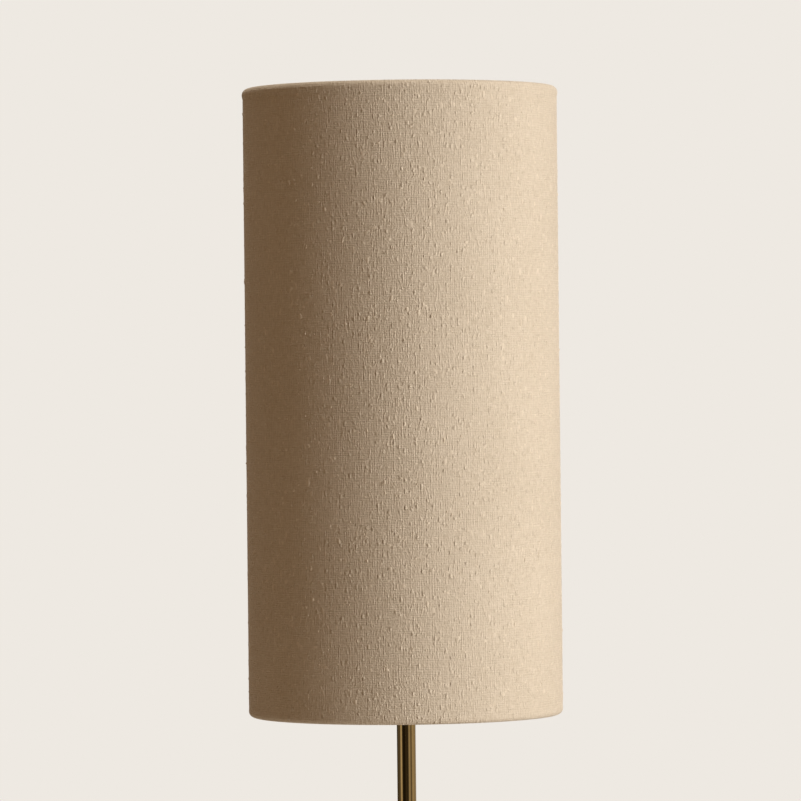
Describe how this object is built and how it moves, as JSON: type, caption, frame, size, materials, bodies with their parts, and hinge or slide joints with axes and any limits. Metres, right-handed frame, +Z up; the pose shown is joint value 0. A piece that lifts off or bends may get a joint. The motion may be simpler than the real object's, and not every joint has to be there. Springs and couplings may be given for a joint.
{
  "type": "floor lamp",
  "caption": "Column floor lamp: tall linen drum shade on a harp, slim brass stem, lampholder with turn switch, weighted round base.",
  "frame": {"origin": "on the floor, under the axis of the stem, at the middle of the base", "axes": "+Z up along the stem, -Y the front, where the switch knob points, +Y the back, where the cord leaves"},
  "size_m": [0.3018, 0.3018, 1.5],
  "materials": {
    "linen": "natural slub linen, matt",
    "shade_lining": "white styrene sheet, satin",
    "white_wire": "white powder coat",
    "polished_brass": "polished, lacquered and slightly aged",
    "brass_wire": "drawn wire, bright",
    "turned_brass": "turned, bare",
    "zinc_steel": "zinc plated",
    "cast_iron": "as cast, black primer",
    "felt": "black pressed felt",
    "black_nylon": "moulded, satin",
    "white_nylon": "moulded, natural",
    "brown_insulation": "wire insulation",
    "blue_insulation": "wire insulation",
    "card": "pressed insulating card",
    "phenolic": "moulded phenolic",
    "opal_glass": "opal glass",
    "nickel_cap": "pressed aluminium, bright",
    "black_glass": "fused black glass",
    "solder": "tinned contact"
  },
  "bodies": {
    "stand": {"harp_saddle": "polished_brass", "stem_top_cap": "polished_brass", "upper_stem": "polished_brass", "upper_stem_top_plug": "turned_brass", "upper_stem_bottom_plug": "turned_brass", "stem_joint_rod": "zinc_steel", "lower_stem": "polished_brass", "lower_stem_top_plug": "turned_brass", "lower_stem_bottom_plug": "turned_brass", "stem_foot_collar": "polished_brass", "base_rod": "zinc_steel", "base_cover": "polished_brass", "base_weight": "cast_iron", "base_washer": "zinc_steel", "base_nut": "zinc_steel", "base_plate": "zinc_steel", "base_plate_screws": "zinc_steel", "base_pad": "felt", "cord_gland": "black_nylon", "terminal_block": "white_nylon", "terminal_block_sleeves": "turned_brass", "terminal_block_screws": "zinc_steel", "terminal_block_fixing_screw": "zinc_steel", "live_wire": "brown_insulation", "neutral_wire": "blue_insulation", "holder_rod": "zinc_steel", "holder_cap": "polished_brass", "holder_set_screw": "zinc_steel", "holder_shell": "polished_brass", "holder_insulating_sleeve": "card", "holder_core": "phenolic", "holder_screw_shell": "turned_brass", "holder_centre_contact": "turned_brass", "holder_live_screw": "turned_brass", "holder_neutral_screw": "turned_brass"},
    "switch": {"switch_spindle": "turned_brass", "switch_knob": "phenolic"},
    "bulb": {"bulb_envelope": "opal_glass", "bulb_cap": "nickel_cap", "bulb_insulator": "black_glass", "bulb_contact": "solder"},
    "harp": {"harp": "brass_wire"},
    "left_sleeve": {"harp_sleeve_left": "polished_brass"},
    "right_sleeve": {"harp_sleeve_right": "polished_brass"},
    "stud": {"harp_stud": "turned_brass"},
    "shade": {"shade_fabric": "linen", "shade_liner": "shade_lining", "shade_bottom_ring": "white_wire", "shade_spider": "white_wire"},
    "finial": {"finial": "polished_brass"}
  },
  "joints": [
    {"name": "switch_turn", "type": "hinge", "parent": "stand", "child": "switch", "pos_m": [0, -0.0235, 1.1949], "axis": [0, -1, 0], "continuous": true},
    {"name": "bulb_lift", "type": "slide", "parent": "stand", "child": "bulb", "axis": [0, 0, 1], "range_m": [0, 0.035]},
    {"name": "harp_lift", "type": "slide", "parent": "stand", "child": "harp", "axis": [0, 0, 1], "range_m": [0, 0.04]},
    {"name": "left_sleeve_slide", "type": "slide", "parent": "harp", "child": "left_sleeve", "axis": [0, 0, 1], "range_m": [0, 0.012]},
    {"name": "right_sleeve_slide", "type": "slide", "parent": "harp", "child": "right_sleeve", "axis": [0, 0, 1], "range_m": [0, 0.012]},
    {"name": "shade_turn", "type": "hinge", "parent": "harp", "child": "stud", "pos_m": [0, 0, 1.4659], "axis": [0, 0, 1], "continuous": true},
    {"name": "shade_lift", "type": "slide", "parent": "stud", "child": "shade", "axis": [0, 0, 1], "range_m": [0, 0.62]},
    {"name": "finial_lift", "type": "slide", "parent": "shade", "child": "finial", "axis": [0, 0, 1], "range_m": [0, 0.03]}
  ]
}
